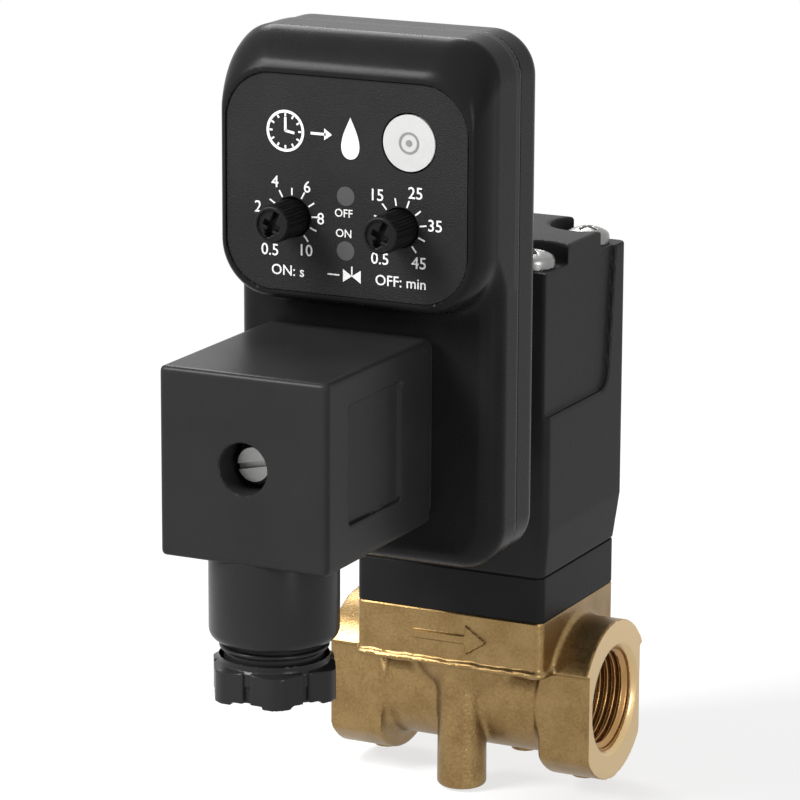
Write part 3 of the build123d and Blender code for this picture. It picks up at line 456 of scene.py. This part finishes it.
def housing(x, y, z):
    """Solenoid housing: tapered foot, raised plateau, side recess and the pad that the timer plugs onto."""
    lean = np.clip((31.1 - z) / 7.8, 0, 1)
    wall = round_box(x, y, 17.6 - 0.9 * lean, 15.5 - 0.75 * lean, 1.3)
    body = stand(wall, z, 23.3, HEAD_Z, 0.35)
    pocket = screw_holes(x, y, 6.0)
    pocket = np.minimum(pocket, np.maximum(11.5 - np.abs(x), 9.9 - np.abs(y)))
    top = blend_cut(stand(wall, z, 70, 76.7, 0.5), pocket, 0.7)
    body = blend_union(body, top, 0.3)
    ramp = 8.6 + (z - 50.2) * 3.0 / 28.4
    edge = blend_cut(y - ramp, z - 50.2, 3.2)
    panel = np.maximum(edge, 16.9 - np.abs(x))
    body = blend_cut(body, panel, 0.25)
    pad = stand(round_box(x - PLUG_X, z - PLUG_Z, *SOCKET), y, -17.4, -14.0, 0.2)
    body = blend_union(body, pad, 0.4)
    room = np.minimum(np.hypot(x, y) - 11.75, round_box(x, y, 14.5, 8.1, 0.1))
    room = np.maximum(room, z - 63.2)
    bolts = screw_holes(x, y, 2.2)
    px, pz = x - PLUG_X, z - PLUG_Z
    blades = np.minimum(np.maximum(np.abs(np.abs(px) - BLADE) - 0.4, np.abs(pz) - 3.15),
                        np.maximum(np.abs(px) - 3.15, np.abs(pz + BLADE) - 0.4))
    for hole in (room, bolts, np.maximum(blades, y + 13.2)):
        body = np.maximum(body, -hole)
    return body


verts, faces = skin(housing, (-18.9, -18.2, 22.6), (18.9, 16.9, 77.6), 0.42)
to_mesh("solenoid_housing", verts, faces, "plastic_housing", ["coil_housing"], smooth=40)


def bonnet(x, y, z):
    """Flange under the housing: the casting's outline stood up, with its pocket, tube hole and screw holes."""
    body = stand(round_box(x, y, *FLANGE), z, 15.72, 23.28, 0.25)
    rho = np.hypot(x, y)
    pocket = np.minimum(np.maximum(rho - 10.9, z - 19.9), rho - 6.3)
    for hole in (pocket, screw_holes(x, y, 2.1)):
        body = np.maximum(body, -hole)
    return body


verts, faces = skin(bonnet, (-18.1, -16.1, 15.0), (18.1, 16.1, 24.1), 0.36)
to_mesh("bonnet_flange", verts, faces, "plastic_flange", ["cover_flange"], smooth=40)


def outline(x, z, half, low, high, r_low, r_high):
    """Rectangle about x = 0 with one radius on its lower and another on its upper corners."""
    r = np.where(z > (low + high) / 2, r_high, r_low)
    qx, qz = np.abs(x) - half + r, np.abs(z - (low + high) / 2) - (high - low) / 2 + r
    return np.hypot(np.maximum(qx, 0), np.maximum(qz, 0)) + np.minimum(np.maximum(qx, qz), 0) - r


def panel_size(y):
    """Half width, bottom, top and corner radii of the raised panel, rising forward in a soft crown."""
    t = np.clip((-45.2 - y) / 7.1, 0, 1)
    half, low, high = 22.4 - 1.35 * t ** 2.6, 73.3 + 1.2 * t ** 3, TOP - 5.4 * t ** 1.7
    return half, low, high, 9.5 - 1.2 * t, 7.4 + 1.0 * t


def timer_front(x, y, z):
    """Front half of the timer case: filleted tray with the raised panel melted onto its upper part."""
    tray = outline(x, z, 22.4, 32.3, TOP, 7.0, 7.0)
    tray = stand(tray, y, -45.2, -20, 3.4)
    half, low, high, r_low, r_high = panel_size(y)
    raised = outline(x, z, half, low, high, r_low, r_high) * 0.93
    raised = blend_cut(np.maximum(raised, y + 41.0), y + 52.3, 1.1)
    body = blend_union(tray, raised, 2.4)
    limit = outline(x, z, 22.45, 32.25, TOP + 0.05, 7.0, 7.0)
    body = np.maximum(body, np.maximum(limit, y - SPLIT_Y))
    recess = round_box(x, z - LABEL_Z, *LABEL)
    body = blend_cut(body, np.maximum(recess, y + 51.5), 0.35)
    room = np.maximum(outline(x, z, 20.4, 34.3, 112.6, 5.2, 6.5), -43.2 - y)
    panel_room = np.maximum(round_box(x, z - LABEL_Z, 18.25, 14.65, 6), -50.0 - y)
    holes = np.minimum(np.hypot(np.abs(x) - KNOB_X, z - KNOB_Z) - 3.15, np.hypot(x - KEY_X, z - KEY_Z) - 4.65)
    holes = np.minimum(holes, np.hypot(x, np.abs(z - 86.6) - 4.2) - 1.6)
    px, pz = x - PLUG_X, z - PLUG_Z
    slots = np.minimum(np.maximum(np.abs(np.abs(px) - BLADE) - 0.4, np.abs(pz) - 3.15),
                       np.maximum(np.abs(px) - 3.15, np.abs(np.abs(pz) - BLADE) - 0.4))
    slots = np.minimum(slots, np.hypot(px, pz) - 1.8)
    for hole in (room, panel_room, np.maximum(holes, 0), np.maximum(slots, y + 40)):
        body = np.maximum(body, -hole)
    return body


verts, faces = skin(timer_front, (-23.4, -53.3, 31.4), (23.4, -36.6, 116.6), 0.46)
to_mesh("timer_cover", verts, faces, "plastic_timer", ["timer_front_cover"], smooth=40)


def timer_rear(x, y, z):
    """Rear shell, filleted at the back, with the square socket block that plugs onto the solenoid."""
    shell = stand(outline(x, z, 22.25, 32.45, TOP - 0.15, 7.0, 7.0), y, -60, -30, 2.8)
    room = np.maximum(outline(x, z, 20.3, 34.4, 112.6, 5.2, 6.5), y + 32)
    shell = np.maximum(shell, -room)
    block = round_box(x - PLUG_X, z - PLUG_Z, *SOCKET)
    body = blend_union(shell, stand(block, y, -34, -18.6, 0.2), 0.5)
    socket = np.maximum(np.abs(x - PLUG_X), np.abs(z - PLUG_Z)) - 11.75
    return np.maximum(np.maximum(body, -socket), SPLIT_Y - y)


verts, faces = skin(timer_rear, (-23.2, -38.4, 31.4), (23.2, -17.8, 116.2), 0.46)
to_mesh("timer_rear_shell", verts, faces, "plastic_timer", ["timer_back_shell"], smooth=40)


def connector(x, y, z):
    """Connector: box with softened edges and an inset window in each cheek."""
    px, pz = x - PLUG_X, z - PLUG_Z
    box = stand(round_box(px, pz + 0.25, 14.0, 14.55, 0.8), y, -81.0, -40, 0.8)
    window = round_box(y + 65.2, z - 55.2, 8.7, 9.2, 1.0)
    depth = 0.5 + 0.35 * np.clip((-60 - y) / 12, 0, 1)
    box = blend_cut(box, np.maximum(window, (14.0 - depth) - np.abs(px)), 0.3)
    well = np.maximum(np.hypot(px, pz) - 3.95, y + 74.4)
    box = blend_cut(box, well, 0.3)
    box = np.maximum(box, y + 46.4)
    room = np.maximum(np.maximum(np.abs(px), np.abs(pz) - 0.3) - 11.8, -78.0 - y)
    pillar = np.maximum(np.hypot(px, pz) - 5.2, y + 63.4)
    room = np.maximum(room, -pillar)
    neck = np.maximum(np.hypot(px, y - GLAND_Y) - 6.2, z - 46)
    bolt = np.hypot(px, pz) - 1.8
    for hole in (room, neck, bolt):
        box = np.maximum(box, -hole)
    return box


verts, faces = skin(connector, (-17.4, -82.2, 39.2), (13.0, -45.4, 70.4), 0.42)
to_mesh("connector_box", verts, faces, "plastic_plug", ["plug_housing"], smooth=40)


def arc(cx, cz, r, a0, a1, count=7):
    """Points on a circle of a profile from angle a0 to a1, in degrees."""
    t = np.radians(np.linspace(a0, a1, count))
    return [(cx + r * math.cos(v), cz + r * math.sin(v)) for v in t]


# neck with a rounded lower edge, the waist under it and the beaded collar on the thread stub
neck = [(6.2, 40.4), (9.75, 40.4), (9.9, 39.6), *arc(8.0, 28.3, 1.9, 0, -90, 9), (7.75, 26.3), (7.7, 26.1),
        (7.7, 25.85), *arc(8.0, 25.5, 0.34, 90, -90, 7), (7.75, 25.0), (7.6, 24.8), (7.6, 20.1), (7.2, 19.7),
        (6.2, 19.7)]
verts, faces = turned_rings(neck[::-1], 128, (PLUG_X, GLAND_Y, 0))
# the neck takes the darker copy of the plug plastic, whose lower base colour is painted shade
to_mesh("connector_neck", verts, faces, "plastic_plug", ["plug_neck"], finish=neck_nut_painted_shade_finish)


def nut(x, y, z):
    """Six-sided nut with a groove down the middle of each flat; its corners reach a little lower."""
    px, py = x - PLUG_X, y - GLAND_Y
    turn = np.arctan2(py, px) + math.pi / 6
    sector = (turn + math.pi / 6) % (math.pi / 3) - math.pi / 6
    rho = np.hypot(px, py)
    along, side = rho * np.cos(sector), np.abs(rho * np.sin(sector))
    hexagon = along - 9.1
    groove = np.maximum(np.maximum(8.45 - along, side - 0.6), 0)
    block = blend_cut(hexagon, groove, 0.2)
    crown = rho - 10.0
    body = -blend_union(-block, -crown, 0.3)
    skirt = 18.25 - 0.45 * np.clip((side - 2.5) / 0.3, 0, 1)
    body = np.maximum(body, skirt - z)
    body = np.maximum(body, z - 23.1 + 0.3 * np.clip(rho - 8.6, 0, 2))
    body = blend_union(body, stand(rho - 8.4, z, 21.0, 24.3, 0.3), 0.25)
    body = blend_union(body, stand(rho - 7.0, z, 17.8, 19.5, 0.25), 0.25)
    body = np.maximum(body, -np.maximum(rho - 7.65, 18.5 - z))
    return np.maximum(body, -(rho - 5.2 - 0.35 * np.clip(18.0 - z, 0, 1)))


verts, faces = skin(nut, (-13.2, -82.1, 16.7), (8.9, -60.1, 24.0), 0.25)
# the nut takes the darker copy of the plug plastic, whose lower base colour is painted shade
to_mesh("gland_hexagon", verts, faces, "plastic_plug", ["gland_nut"], body="gland_nut", smooth=38,
        finish=neck_nut_painted_shade_finish)


def knob(x, y, z):
    """Setting knob: fine-toothed barrel, dished tip with an arrow-shaped cross slot, D shaft behind."""
    rho, turn = np.hypot(x, z), np.arctan2(z, x)
    barrel = rho - 2.78 - 0.13 * np.cos(36 * turn) * np.clip((y + 58.5) / 0.6, 0, 1)
    body = stand(barrel * 0.8, y, -58.9, -48.3, 0.18)
    dish = np.maximum(rho - 2.3, y + 58.55)
    lean = math.radians(24)
    u, v = x * math.cos(lean) - z * math.sin(lean), x * math.sin(lean) + z * math.cos(lean)
    slot = np.minimum(round_box(u, v, 0.5, 2.05, 0.05), round_box(u, v + 0.2, 1.45, 0.5, 0.05))
    tip = np.maximum(np.abs(u) * 0.75 + (-v - 2.3) * 0.66, v + 1.2)
    slot = np.minimum(slot, np.maximum(tip, np.abs(u) - 0.95))
    slot = np.maximum(slot, y + 57.2)
    shaft = stand(np.maximum(rho - 1.5, z - 1.2), y, -48.6, -44.3, 0.1)
    body = np.minimum(body, shaft)
    return np.maximum(np.maximum(body, -dish), -slot)


verts, faces = skin(knob, (-3.3, -59.3, -3.3), (3.3, -43.9, 3.3), 0.15, rounds=2)
for name, dx in (("on_time_knob", -KNOB_X), ("off_time_knob", KNOB_X)):
    to_mesh(name.replace("time", "setting"), verts + (dx, 0, KNOB_Z), faces, "plastic_knob", [name], body=name,
            smooth=35)


def screw_head(x, y, z):
    """Head of a housing screw: domed pan head with a cross slot and the start of its shank."""
    rho = np.hypot(x, y)
    dome = np.sqrt(rho ** 2 + (z + 3.4) ** 2) - 6.15
    head = -blend_union(-np.maximum(rho - 3.6, -z), -dome, 0.5)
    cross = np.minimum(round_box(x, y, 2.1, 0.42, 0.1), round_box(x, y, 0.42, 2.1, 0.1))
    cross = np.maximum(cross + 0.12 * np.clip(2.6 - z, 0, 3), 1.2 - z)
    shank = stand(rho - 2.0, z, -2.5, 0.4)
    return np.maximum(np.minimum(head, shank), -cross)


head_verts, head_faces = skin(screw_head, (-4.0, -4.0, -2.9), (4.0, 4.0, 3.3), 0.16, rounds=2)
shank_verts, shank_faces = turned_rings([(0.02, 9.0), (1.6, 9.0), (2.0, 9.6), (2.0, 72.0), (0.02, 72.0)], 32)
all_verts, all_faces = [], []
for n, (sx, sy) in enumerate(((-1, -1), (-1, 1), (1, -1), (1, 1))):
    lean = math.radians((12, 50, 35, 70)[n])
    spin = np.array([[math.cos(lean), math.sin(lean), 0], [-math.sin(lean), math.cos(lean), 0], [0, 0, 1]])
    for part_verts, part_faces, lift in ((head_verts @ spin, head_faces, HEAD_Z), (shank_verts, shank_faces, 0)):
        all_faces.append(part_faces + sum(map(len, all_verts)))
        all_verts.append(part_verts + (sx * SCREW_X, sy * SCREW_Y, lift))
to_mesh("long_screws", np.concatenate(all_verts), np.concatenate(all_faces), "screw_zinc", ["housing_screws"])


# ---------------------------------------------------------------- print on the label
def printed(name, flat_meshes, finish, y=-51.96, body="valve"):
    """Flat pieces in the label's plane, given thickness: front face at y and back face on the label."""
    verts, faces = [], []
    for points, polygons in flat_meshes:
        start, n = sum(map(len, verts)), len(points)
        verts += [np.stack([points[:, 0], np.full(n, depth), points[:, 1]], -1) for depth in (y, PRINT_BACK)]
        for p in polygons:
            faces.append([start + i for i in p])
            faces.append([start + n + i for i in p[::-1]])
        edges = dict.fromkeys((i, j) for p in polygons for i, j in zip(p, p[1:] + p[:1]))
        faces += [[start + j, start + i, start + n + i, start + n + j] for i, j in edges if (j, i) not in edges]
    to_mesh(name, np.concatenate(verts), faces, "plastic_white", body=body, smooth=30, finish=finish)


def words(text, x, z, size, bold):
    """Outline of a word as a flat mesh centred on a place in the label's plane."""
    curve = bpy.data.curves.new("word", "FONT")
    curve.body, curve.size, curve.offset = text, size, bold
    curve.align_x, curve.align_y, curve.resolution_u = "CENTER", "CENTER", 3
    holder = bpy.data.objects.new("word", curve)
    mesh = bpy.data.meshes.new_from_object(holder)
    points = np.zeros(len(mesh.vertices) * 3)
    mesh.vertices.foreach_get("co", points)
    points = points.reshape(-1, 3)[:, :2]
    middle = (points.min(0) + points.max(0)) / 2
    polygons = [list(p.vertices) for p in mesh.polygons]
    bpy.data.objects.remove(holder)
    bpy.data.meshes.remove(mesh)
    return points - middle + (x, z), polygons


def bar(x, z, angle, length, width):
    """Rectangle centred on a place, its length turned clockwise from up by angle in degrees."""
    t = math.radians(angle)
    along, across = np.array((math.sin(t), math.cos(t))), np.array((math.cos(t), -math.sin(t)))
    signs = ((-1, -1), (1, -1), (1, 1), (-1, 1))
    return np.array([(x, z) + a * across * width / 2 + b * along * length / 2 for a, b in signs]), [[0, 1, 2, 3]]


def ring(x, z, r, width, count=40):
    """Flat ring of a width about a centre, cut open at the top."""
    t = np.radians(np.linspace(360, 0, count))
    d = np.stack([np.sin(t), np.cos(t)], -1)
    return np.concatenate([(x, z) + d * (r - width / 2), (x, z) + d * (r + width / 2)]), [
        [i, i + 1, count + i + 1, count + i] for i in range(count - 1)]


def shape(*points):
    """One flat polygon."""
    return np.array(points, float), [list(range(len(points)))]


marks = []
for text, x, z in (("4", -12.0, 92.1), ("6", -6.5, 91.7), ("8", -4.2, 87.0), ("10", -6.6, 81.9), ("2", -14.9, 88.0),
                   ("0.5", -12.9, 81.5), ("15", 5.4, 91.5), ("25", 11.7, 92.3), ("35", 15.0, 87.6),
                   ("45", 12.3, 81.7), ("0.5", 5.8, 81.8)):
    marks.append(words(text, x, z, 2.55, 0.012))
for dx, angles in ((-KNOB_X, [(v - 5) * 28.4 for v in (0.5, 1, 2, 3, 4, 5, 6, 7, 8, 9, 10)]),
                   (KNOB_X, [142 - (45 - v) * 6.07 for v in (0.5, 5, 10, 15, 20, 25, 30, 35, 40, 45)])):
    for angle in angles:
        t = math.radians(angle)
        marks.append(bar(dx + 3.95 * math.sin(t), KNOB_Z + 3.95 * math.cos(t), angle, 1.15, 0.24))
marks += [words("OFF", -0.3, 88.2, 1.75, 0.01), words("ON", -0.3, 85.1, 1.75, 0.01),
          words("ON: s", -9.8, 78.5, 2.3, 0.01), words("OFF: min", 9.3, 78.5, 2.3, 0.01)]
# valve symbol: two facing triangles on a line, with an arrow in
vx, vz = -0.4, 78.6
marks += [shape((vx, vz - 1.0), (vx, vz + 1.0), (vx + 1.5, vz)),
          shape((vx + 3.0, vz + 1.0), (vx + 3.0, vz - 1.0), (vx + 1.5, vz)),
          bar(vx - 1.6, vz, 90, 2.0, 0.22), bar(vx + 1.5, vz + 0.75, 0, 1.5, 0.22)]
# clock and drop beside each other where the panel has room
cx, cz = -10.2, 100.0
marks += [ring(cx, cz, 3.0, 0.42), bar(cx, cz + 1.05, 0, 2.1, 0.4), bar(cx + 0.75, cz - 0.1, 100, 1.6, 0.4)]
marks += [bar(cx + 2.45 * math.sin(t), cz + 2.45 * math.cos(t), math.degrees(t), 0.5, 0.28)
          for t in np.arange(0, 2 * math.pi, math.pi / 6)]
marks += [bar(cx + 5.6, cz, 90, 2.6, 0.4), shape((cx + 6.6, cz - 0.9), (cx + 6.6, cz + 0.9), (cx + 7.9, cz))]
drop_t = np.linspace(0, 2 * math.pi, 41)[:-1]
drop = np.stack([cx + 11.0 - 2.1 * np.sin(drop_t) * np.sin(drop_t / 2) ** 1.3, cz - 0.3 + 3.2 * np.cos(drop_t)], -1)
marks.append((drop, [list(range(40))]))
printed("panel_print", marks, white_print)
# ring and dot on the push key
printed("key_print", [ring(KEY_X, KEY_Z, 1.5, 0.32), ring(KEY_X, KEY_Z, 0.25, 0.5, count=24)], grey_print,
        y=-52.02, body="test_button")


# ---------------------------------------------------------------- camera, light and floor
AZIMUTH, ELEVATION, ROLL = math.radians(26.01), math.radians(13.65), math.radians(-0.27)
cam = bpy.data.cameras.new("camera")
cam.sensor_width, cam.lens, cam.clip_end = 36.0, 189.0, 20.0
camera = bpy.data.objects.new("camera", cam)
bpy.context.collection.objects.link(camera)
back = np.array([math.sin(AZIMUTH) * math.cos(ELEVATION), -math.cos(AZIMUTH) * math.cos(ELEVATION),
                 math.sin(ELEVATION)])
right = np.array([math.cos(AZIMUTH), math.sin(AZIMUTH), 0.0])
up = np.cross(back, right)
turned = right * math.cos(ROLL) + up * -math.sin(ROLL)
up = np.cross(back, turned)
place = Matrix(np.column_stack([turned, up, back]).tolist()).to_4x4()
place.translation = ((AXIS_X + 280.44) * MM, -607.60 * MM, 210.41 * MM)
camera.matrix_world = place
bpy.context.scene.camera = camera


def stage_finish(name, shade, near=0.72):
    """A white that the camera and mirror-like surfaces see, over a diffuse floor that keeps its shadows.

    The white's share is near at the object and grows to 1 over 0.4 m."""
    paper = bpy.data.materials.new(name)
    paper.use_nodes = True
    m = NodeMaker(paper.node_tree)
    plain = m.node("ShaderNodeBsdfDiffuse", {}, {0: (shade, shade, shade, 1)})
    glow = m.node("ShaderNodeEmission", {}, {0: (1, 1, 1, 1)})
    reach = m.node("ShaderNodeVectorMath", {"operation": "LENGTH"},
                   {0: m.node("ShaderNodeTexCoord", {}, {}, "Object")}, "Value")
    fade = m.node("ShaderNodeMapRange", {}, {0: reach, 1: 0.10, 2: 0.40, 3: near, 4: 1.0})
    mixed = m.node("ShaderNodeMixShader", {}, {0: fade * m.seen_rays(), 1: plain, 2: glow})
    m.node("ShaderNodeOutputMaterial", {}, {0: mixed})
    return paper


low_z = cad_box[0][2] - 0.0004
floor_mesh = bpy.data.meshes.new("floor")
floor_mesh.from_pydata([(-3, -3, low_z), (3, -3, low_z), (3, 3, low_z), (-3, 3, low_z)], [], [(0, 1, 2, 3)])
floor = bpy.data.objects.new("floor", floor_mesh)
floor.data.materials.append(stage_finish("floor_paper", 0.8))
bpy.context.collection.objects.link(floor)

world = bpy.data.worlds.new("studio")
bpy.context.scene.world = world
world.use_nodes = True
sky = NodeMaker(world.node_tree)
plain_sky, seen_sky = (sky.node("ShaderNodeBackground", {}, {0: (1, 1, 1, 1), 1: k}) for k in (0.3, 1.0))
sky.node("ShaderNodeOutputWorld", {}, {0: sky.node("ShaderNodeMixShader", {},
                                                   {0: sky.seen_rays(), 1: plain_sky, 2: seen_sky})})


def lamp(name, at, size, power, aim=(AXIS_X, -30.0, 50.0)):
    """Soft rectangular studio lamp, in mm, pointed at the object."""
    data = bpy.data.lights.new(name, "AREA")
    data.shape, data.size, data.size_y, data.energy = "RECTANGLE", size[0] * MM, size[1] * MM, power
    obj = bpy.data.objects.new(name, data)
    at, aim = np.array(at) * MM, np.array(aim) * MM
    z = (at - aim) / np.linalg.norm(at - aim)
    x = np.cross((0, 0, 1), z)
    x /= np.linalg.norm(x)
    m = Matrix(np.column_stack([x, np.cross(z, x), z]).tolist()).to_4x4()
    m.translation = at
    obj.matrix_world = m
    bpy.context.collection.objects.link(obj)


lamp("key", (-430, -560, 520), (280, 280), 7.0)
lamp("crown_strip", (-300, -400, 600), (260, 130), 5.0, (AXIS_X, -50, 105))
lamp("side", (620, -440, 205), (110, 400), 2.1)
lamp("rear", (-235, 330, 470), (300, 160), 2.0)

bpy.context.scene.view_settings.view_transform = "Standard"
